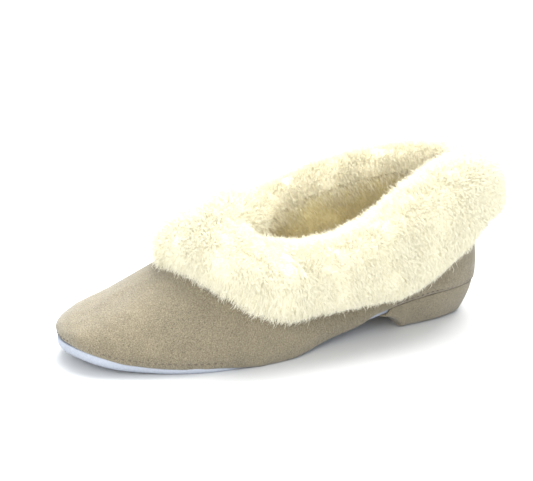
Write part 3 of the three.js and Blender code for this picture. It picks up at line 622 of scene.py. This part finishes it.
def wall_share(u, height):
    """How far up the wall a height above the floor lies, by halving."""
    low, high = np.zeros_like(u), np.ones_like(u)
    for _ in range(14):
        mid = (low + high) / 2
        below = wall(u, mid)[..., 2] < height
        low, high = np.where(below, mid, low), np.where(below, high, mid)
    return low


def lining_pile(u):
    """Depth of the lining's wool."""
    return blend(LINING_WOOL, LINING_WOOL_AT_TOE, ease(way_of(u), 0.5, 0.85))


u = (np.arange(300) / 300)[None]
seat = wall_share(u, tread(share_of(outline_at(u)[..., 1])) + SEAT_TOP + 1)
t = np.linspace(0, 1, 26)[:, None]
v = blend(seat, 1.0, t)
pile_face = skin(u, v, -(LINING_START + lining_pile(u)) + 0.0 * v)
inwards = -wall_out(u, v)
settle = np.sin(np.pi * t) ** 0.5
pile_face = pile_face + inwards * ((0.7 * lumps(pile_face, 13, 7) - 0.8) * settle)[..., None]
skin_face = skin(u, v[::-1], -LINING_START + 0.0 * v)
lining_rings = np.concatenate([skin_face[::-1], pile_face[::-1]])
lining_faces = grid_faces(*lining_rings.shape[:2], round_rows=True, round_columns=True)
lining = make_piece("lining_wool_pile", lining_rings, lining_faces)

sock_inset = LINING_START + LINING_WOOL + 2 * PIECE_GAP
way = np.linspace(0, 1, 150)
drawn_in = blend(sock_inset, sock_inset + 9, ease(way, 0.72, 1))
outer_edge, inner_edge = outline_at(way / 2, drawn_in + 0.6), outline_at(1 - way / 2, drawn_in + 0.6)
w = np.linspace(0, 1, 22)[:, None, None]
sock_top = blend(outer_edge, inner_edge, w)
base = tread(share_of(sock_top[..., 1]))
crown = np.sin(np.pi * w[..., 0])
sock_depth = SOCK_WOOL * (0.35 + 0.55 * crown ** 0.4)
sock_top[..., 2] = base + SOCK_LOW + sock_depth + 0.5 * lumps(sock_top, 12, 9) * crown
sock_low = sock_top[::-1].copy()
sock_low[..., 2] = base[::-1] + SOCK_LOW
sock_rings = np.concatenate([sock_top, sock_low])
sock = make_piece("sock_wool_pile", sock_rings, grid_faces(*sock_rings.shape[:2], round_rows=True), join=0.01)

hide = Finish("sheep_hide")
grain = hide.noise(1.2, 4, 0.6)
hide_finish = hide.surface(hide.mix(grain, (0.62, 0.55, 0.42), (0.76, 0.70, 0.58)), 0.85, grain, 0.1)
dress(["lining_hide", "sock_hide", "cuff_hide"], hide_finish)


def pile_finish(name, low, high, tips, **constants):
    """Curly pile, cloudy between two colours, with a third on its curls."""
    pile = Finish(name)
    curls = pile.noise(2.2, 4, 0.6)
    deep = pile.mix(pile.noise(16, 2), low, high)
    return pile.surface(pile.mix(curls.between(0.35, 0.65), deep, tips), 0.95, curls, 0.8, **constants)


# Painted shade: the lining and the sock are given a darker khaki than the cuff's cream wool, to stand for the
# shade inside the shoe.
shade_painted_wool = pile_finish("shade_painted_wool", (0.50, 0.42, 0.20), (0.60, 0.51, 0.26), (0.68, 0.60, 0.34))
finish_piece(lining, shade_painted_wool, "wool", "lining_wool")
finish_piece(sock, shade_painted_wool, "wool", "sock_wool")

# ---- Cuff -----------------------------------------------------------------------------------
# A wide band of long-haired sheepskin sewn along the top edge and turned down over the outside, with
# a point over the instep. The wool rolls over the edge in a thick collar and meets the lining inside.
CUFF_HIDE, CUFF_WOOL, FLAP_WOOL = 1.5, 15.0, 18.0
CUFF_BACK, CUFF_OUTER, CUFF_INNER, CUFF_HANG = 59.0, 29.0, 36.0, 7.0
RIM_ROLL, UNDER_RIM, CUFF_GAP = 13.5, 1.8, 0.75
CUFF_SIDE, CUFF_POINT, CUFF_ROUNDING = 0.265, 2.4, 0.045
HIDE_FRONT, WOOL_FRONT = 25 / 72, 26.5 / 72  # shares of the outline that either side of it spans
DIP, SIDE_DIP = 16.5, 4  # how deep the foot has pressed the wool beside the throat and at the side
SHRINK = 1.6  # how far the solid depths of the wool lie below its face
PAINTED_GLOW = 0.1  # painted light: a faint glow given to the pale wool, in place of light that wanders from hair to hair


def round_over(s):
    """A quarter circle: 0 at 0, upright there, and level at 1."""
    return np.sqrt(np.maximum(1 - (1 - np.clip(s, 0, 1)) ** 2, 0))


def cuff_edge(u, front, hang):
    """Lower edge of the cuff up the wall: level round the quarters, running up to a point in front."""
    half = way_of(u) / 2
    side = np.where(np.mod(u, 1) < 0.5, CUFF_OUTER, CUFF_INNER)
    height = blend(CUFF_BACK, side, ease(half, 0.06, 0.18)) - hang * blend(0.25, 0.7, ease(half, 0.06, 0.2))
    t = np.clip((half - CUFF_SIDE) / (front - CUFF_SIDE), 0, 1)
    return blend(wall_share(u, height), 1.0, t ** CUFF_POINT)


def rim_at(u):
    """At the top edge: the point, the way out of the wall, and the way over the edge."""
    out = wall_out(u, np.ones_like(u))
    over = unit(np.cross(mouth.direction(mouth_share(u)), out))
    return wall(u, np.ones_like(u)), out, over


def cuff_face(u, rows_out, rows_over):
    """The face of the cuff's wool. Rows run up the outside, out to the depth of the pile by a quarter
    circle, then over the edge by half an ellipse. On the instep the rows over the edge stay on the ridge."""
    edge = cuff_edge(u, WOOL_FRONT, CUFF_HANG)
    half = way_of(u) / 2
    foot = CUFF_GAP + 0.9 * ease(half, 0.29, 0.34)
    seat = CUFF_GAP + CUFF_HIDE + CUFF_GAP
    top_seat = blend(foot, seat, np.clip((WOOL_FRONT - half) / (WOOL_FRONT - HIDE_FRONT), 0, 1))
    to_front = round_over((WOOL_FRONT - half) / CUFF_ROUNDING)
    pile = blend(CUFF_WOOL, FLAP_WOOL, ease(half, 0.2, 0.29)) * to_front
    s = np.linspace(0, 1, rows_out)[:, None]
    under = blend(foot, top_seat, np.clip(4 * s, 0, 1))
    outside = skin(u, blend(edge, 1.0, s), under + pile * round_over(s / 0.55))
    point, out, over = rim_at(u)
    a = np.pi * np.linspace(0, 1, rows_over + 1)[1:, None, None]
    outer, inner = (top_seat + pile)[..., None], (LINING_START + lining_pile(u))[..., None]
    roll = point + out * np.cos(a) * np.where(np.cos(a) > 0, outer, inner)
    roll = roll + over * (RIM_ROLL * np.sin(a) + UNDER_RIM * a / np.pi)
    roll = np.where((half < MOUTH_END / 2 - 1e-6)[..., None], roll, outside[-1:])
    low = skin(u, blend(edge, 1.0, s[::-1]), foot + 0 * s)
    return settled(outside), settled(roll), low


def settled(p):
    """The wool's face pressed down where the foot goes in: a dip beside the throat, which eases out
    further towards the toe, and a shallow one along the outer side's edge. Both fall off as
    exp(-distance squared)."""
    x, y = p[..., 0], p[..., 1]
    dip = DIP * np.exp(-((x - 22) / 23) ** 2 - ((y + 20) / blend(24, 12, ease(y, -32, -12))) ** 2)
    side = SIDE_DIP * np.exp(-((x - 28) / 15) ** 2 - ((y - 33) / 26) ** 2)
    p = p.copy()
    p[..., 2] -= (dip + side) * ease(p[..., 2], 42, 60)
    return p


def grid_out(p):
    """A grid's normals, rows against columns, and the way from row to row, from its differences."""
    down = np.gradient(p, axis=0)
    return unit(np.cross(down, np.gradient(p, axis=1))), unit(down)


u = np.linspace(-WOOL_FRONT + 1e-4, WOOL_FRONT - 1e-4, 380)[None]
outside, roll, low = cuff_face(u, 30, 22)
face = np.concatenate([outside, roll])
face_out, _ = grid_out(face)
thin = round_over(np.linspace(0, 1, len(outside)) / 0.4)
keep = np.concatenate([thin, np.ones(len(roll))])[:, None] * round_over((WOOL_FRONT - way_of(u) / 2) / 0.03)
body = face + face_out * ((1.1 * lumps(face, 17, 11) + 0.5 * lumps(face, 7, 12) - SHRINK) * keep)[..., None]
under = np.concatenate([rim_at(u)[0], low])
rings = np.concatenate([body, under]).swapaxes(0, 1)[::-1]
cuff = make_piece("cuff_wool_pile", *capped(rings))
# Painted light: the solid pile glows faintly in cream, so that it shows pale between the hairs.
dense_wool = pile_finish("dense_wool", (0.82, 0.78, 0.61), (0.85, 0.81, 0.65), (0.90, 0.87, 0.73),
                         Emission_Color=(1.0, 0.96, 0.80), Emission_Strength=PAINTED_GLOW)
finish_piece(cuff, dense_wool, "wool", "cuff_wool")

# ---- Wool -----------------------------------------------------------------------------------
# The pile itself: fine crimped hairs that stand out of the skin in small locks, combed down over the
# outside of the cuff and down into the shoe. Each is a closed three-sided hair with one bend.
HAIR_SIDES = np.arange(3) * 2 * np.pi / 3
HAIRS, PER_LOCK = 18300, 15  # hairs in each piece, and in each lock
LOCKS = HAIRS // PER_LOCK
LOCK_SPREAD, HAIR_THICK = 2.8, 0.1

wool = Finish("wool")
along = wool.node("ShaderNodeAttribute", out="Fac", attribute_name="along")
shade = wool.node("ShaderNodeAttribute", out="Fac", attribute_name="shade")
root_to_tip = [(0.0, (0.80, 0.76, 0.60)), (0.45, (0.85, 0.82, 0.66)), (1.0, (0.90, 0.88, 0.73))]
cream = wool.node("ShaderNodeValToRGB", {"Fac": along}, stops=root_to_tip)
# Painted shade and painted light: where the shade attribute is high, down in the shoe, the hairs are turned
# khaki and their faint glow dims.
cream = wool.mix(shade, cream, (0.60, 0.50, 0.25))
painted_glow = wool.mix(shade, (1.0, 0.96, 0.82), (0.30, 0.25, 0.12))
wool_finish = wool.surface(cream, 0.9, Sheen_Weight=0.2, Sheen_Roughness=0.5,
                           Emission_Color=painted_glow, Emission_Strength=PAINTED_GLOW)


def sample(field, i, j):
    """A grid's values at fractional rows and columns, straight between its four neighbours."""
    i0, j0 = np.minimum(i.astype(int), field.shape[0] - 2), np.minimum(j.astype(int), field.shape[1] - 2)
    a, b = i - i0, j - j0
    if field.ndim > 2:
        a, b = a[:, None], b[:, None]
    low = field[i0, j0] * (1 - b) + field[i0, j0 + 1] * b
    return low * (1 - a) + (field[i0 + 1, j0] * (1 - b) + field[i0 + 1, j0 + 1] * b) * a


def hairs(name, face, comb, length, depth, seed, first=0.0, last=1.0):
    """Hairs over the columns of a face between two shares of its width. Locks are dealt out by area;
    each leans by comb out of the surface, its hairs root round its middle and gather at its tip."""
    draw = np.random.default_rng(seed)
    columns = face.shape[1]
    cut = slice(int(first * (columns - 1)), int(last * (columns - 1)) + 1)
    face, comb, length, depth = face[:, cut], comb[:, cut], length[:, cut], depth[:, cut]
    out, down = grid_out(face)
    side = unit(np.cross(out, down))
    area = np.linalg.norm(np.cross(face[1:, :-1] - face[:-1, :-1], face[:-1, 1:] - face[:-1, :-1]), axis=-1)
    area = area * (length[1:, 1:] > 0)
    total = np.cumsum(area.ravel())
    cell = np.searchsorted(total, draw.random(LOCKS) * total[-1])
    i, j = np.divmod(np.minimum(cell, area.size - 1), area.shape[1])
    i, j = i + draw.random(LOCKS), j + draw.random(LOCKS)
    root, normal, run, beside = (sample(f, i, j) for f in (face, out, down, side))
    lean = sample(comb, i, j) + draw.normal(0, 0.2, (LOCKS, 3))
    reach = sample(length, i, j) * draw.uniform(0.75, 1.15, LOCKS)
    heading = unit(normal + run * lean[:, :1] + beside * lean[:, 1:2])
    tip = root + heading * reach[:, None]

    def many(a):
        return np.repeat(a, PER_LOCK, 0)

    count = LOCKS * PER_LOCK
    offset = draw.normal(0, LOCK_SPREAD, (count, 2))
    root_of = many(root) + many(run) * offset[:, :1] + many(beside) * offset[:, 1:]
    stray = np.where(draw.random(count) < 0.15, 1.3, 0.8)
    tip_of = many(tip) + (root_of - many(root)) * stray[:, None] + draw.normal(0, 0.8, (count, 3))
    tip_of = blend(root_of, tip_of, draw.uniform(0.65, 1.1, count)[:, None])
    crimp = many(normal) * (many(reach) * 0.14)[:, None] + draw.normal(0, 0.5, (count, 3))
    middle = (root_of + tip_of) / 2 + crimp
    root_of = root_of - many(normal) * (SHRINK + 0.6)
    heading = unit(tip_of - root_of)
    one = unit(np.cross(heading, draw.normal(size=(count, 3))))
    two = np.cross(heading, one)
    ring = one[:, None] * np.cos(HAIR_SIDES)[:, None] + two[:, None] * np.sin(HAIR_SIDES)[:, None]
    width = (HAIR_THICK * draw.uniform(0.7, 1.3, count))[:, None, None]
    rooted, bent = root_of[:, None] + ring * width, middle[:, None] + ring * width * 0.85
    p = np.concatenate([rooted, bent, tip_of[:, None]], 1)
    step = (np.arange(count) * 7)[:, None, None]
    sides = (np.array([[0, 1, 4, 3], [1, 2, 5, 4], [2, 0, 3, 5]])[None] + step).reshape(-1, 4)
    ends = (np.array([[3, 4, 6], [4, 5, 6], [5, 3, 6], [2, 1, 0]])[None] + step).reshape(-1, 3)
    piece = make_piece(name, p, sides, ends)
    mesh = piece.data
    # Painted shade: each hair's share of khaki, taken from depth, for the shade down in the shoe.
    painted_shade = np.clip(many(sample(depth, i, j)) + draw.normal(0.06, 0.08, count), 0, 1)
    stored = {"along": np.tile([0, 0, 0, 0.55, 0.55, 0.55, 1.0], count), "shade": np.repeat(painted_shade, 7)}
    for key, values in stored.items():
        layer = mesh.attributes.new(key, "FLOAT", "POINT")
        layer.data.foreach_set("value", values.astype(np.float32))
    cells = int(np.ceil(np.sqrt(count)))
    corner = np.stack(np.divmod(np.arange(count), cells), -1)[:, None]
    spot = np.array([[0.15, 0.1], [0.5, 0.14], [0.85, 0.1],
                     [0.15, 0.5], [0.5, 0.54], [0.85, 0.5], [0.5, 0.9]])
    flat = ((corner + spot) / cells).reshape(-1, 2)
    corners = np.empty(len(mesh.loops), np.int32)
    mesh.loops.foreach_get("vertex_index", corners)
    mesh.uv_layers.new(name="OFBake").data.foreach_set("uv", flat[corners].astype(np.float32).ravel())
    finish_piece(piece, wool_finish, "wool")


# The outside of the cuff, in five stretches round the shoe.
fine_u = np.linspace(-WOOL_FRONT + 1e-3, WOOL_FRONT - 1e-3, 500)[None]
outside, roll, _ = cuff_face(fine_u, 44, 26)
half = way_of(fine_u) / 2
s = np.linspace(0, 1, 44)[:, None]
lean_down = -blend(2.2, 1.3, ease(s, 0, 0.8)) + 0 * half
forward = 0.6 * ease(half, 0.24, 0.33) * np.sign(fine_u) + 0 * s
comb = np.stack([lean_down, forward, 0 * forward], -1)
on_flap = ease(half, 0.16, 0.25)
tufts = 1 + 0.45 * np.clip(lumps(outside, 13, 14), -1, 1.6) * ease(s, 0.5, 0.0)
grow = blend(blend(3.6, 5.4, on_flap), 4.2, ease(s, 0.0, 0.45)) * tufts
grow = grow * blend(0.75, 1.0, round_over((WOOL_FRONT - half) / 0.04))
for k in range(5):
    hairs(f"cuff_wool_{k + 1}", outside, comb, grow, 0 * grow, 100 + k, first=k / 5, last=(k + 1) / 5)

# The roll over the top edge down to the inside of the collar, in three stretches.
in_mouth = np.abs(fine_u[0]) < MOUTH_END / 2 - 2e-3
mouth_u = fine_u[:, in_mouth]
over_edge = np.concatenate([outside[-2:], roll])[:, in_mouth]
s = np.linspace(0, 1, len(over_edge))[:, None] + 0 * mouth_u
comb = np.stack([blend(-1.3, 1.6, s), 0.2 * np.sign(mouth_u) + 0 * s, 0 * s], -1)
# depth is painted shade: the hairs darken as the roll turns down into the mouth.
grow, depth = blend(3.6, 7.5, s ** 2), 0.45 * ease(s, 0.5, 1.0)
for k in range(3):
    hairs(f"collar_wool_{k + 1}", over_edge, comb, grow, depth, 200 + k, first=k / 3, last=(k + 1) / 3)

# The lining down inside the mouth.
t = np.linspace(1, 0.3, 26)[:, None]
inside = skin(mouth_u, t + 0 * mouth_u, -(LINING_START + lining_pile(mouth_u)) + 0 * t)
s = 0 * t + 0 * mouth_u
comb = np.stack([0.9 + s, s, s], -1)
# depth is painted shade: the lining's hairs are dark deep in the shoe and lighter near the top edge.
depth = blend(0.95, 0.5, ease(t, 0.8, 1.0)) + s
hairs("lining_wool_hair", inside, comb, 5.0 + s, depth, 300)

# ---- Floor, light and camera ----------------------------------------------------------------
# A plain pale grey floor under a large soft light from above and behind, in a bright even room.
FLOOR_REACH = 9000
floor_corners = FLOOR_REACH * np.array([[-1, -1, 0], [1, -1, 0], [1, 1, 0], [-1, 1, 0.0]])
floor = make_piece("floor", floor_corners, np.array([[0, 1, 2, 3]]), smooth=False)
paper = Finish("floor_paper")
pale_grey = paper.mix(paper.noise(300, 2), (0.55, 0.55, 0.55), (0.56, 0.56, 0.56))
floor.data.materials.append(paper.surface(pale_grey, 0.6))


def lamp(name, place, aim, size, power, colour):
    """A square soft light."""
    light = bpy.data.lights.new(name, "AREA")
    light.size, light.energy, light.color = size, power, colour
    lit = bpy.data.objects.new(name, light)
    lit.location = place
    lit.rotation_euler = (Vector(aim) - Vector(place)).to_track_quat("-Z", "Y").to_euler()
    bpy.context.collection.objects.link(lit)


lamp("soft_above", (-0.5, 0.5, 1.6), (0, 0, 0.03), 1.6, 75, (1.0, 0.985, 0.95))
lamp("soft_front", (1.2, -1.0, 0.9), (0, 0, 0.03), 1.2, 20, (1.0, 0.98, 0.95))
world = bpy.data.worlds.new("room")
bpy.context.scene.world = world
world.use_nodes = True
world.node_tree.nodes["Background"].inputs["Color"].default_value = (0.90, 0.95, 1.0, 1)
world.node_tree.nodes["Background"].inputs["Strength"].default_value = 1.5
bpy.context.scene.view_settings.view_transform = "Standard"
bpy.context.scene.cycles.diffuse_bounces = 12  # light goes deep into white wool

AZIMUTH, ELEVATION, DISTANCE = np.radians(66.6), np.radians(17.95), 0.6344
FOCAL_LENGTH, FILM_WIDTH, FURTHEST = 76.0728, 36, 50
target = np.array([-6.14, -4.22, 52.22]) / 1000 + origin
level_way = np.array([np.sin(AZIMUTH), -np.cos(AZIMUTH), 0]) * np.cos(ELEVATION)
stand = target + DISTANCE * (level_way + [0, 0, np.sin(ELEVATION)])
lens = bpy.data.cameras.new("camera")
lens.lens, lens.sensor_width, lens.clip_end = FOCAL_LENGTH, FILM_WIDTH, FURTHEST
camera = bpy.data.objects.new("camera", lens)
camera.location = stand
camera.rotation_euler = (Vector(target) - Vector(stand)).to_track_quat("-Z", "Y").to_euler()
bpy.context.collection.objects.link(camera)
bpy.context.scene.camera = camera
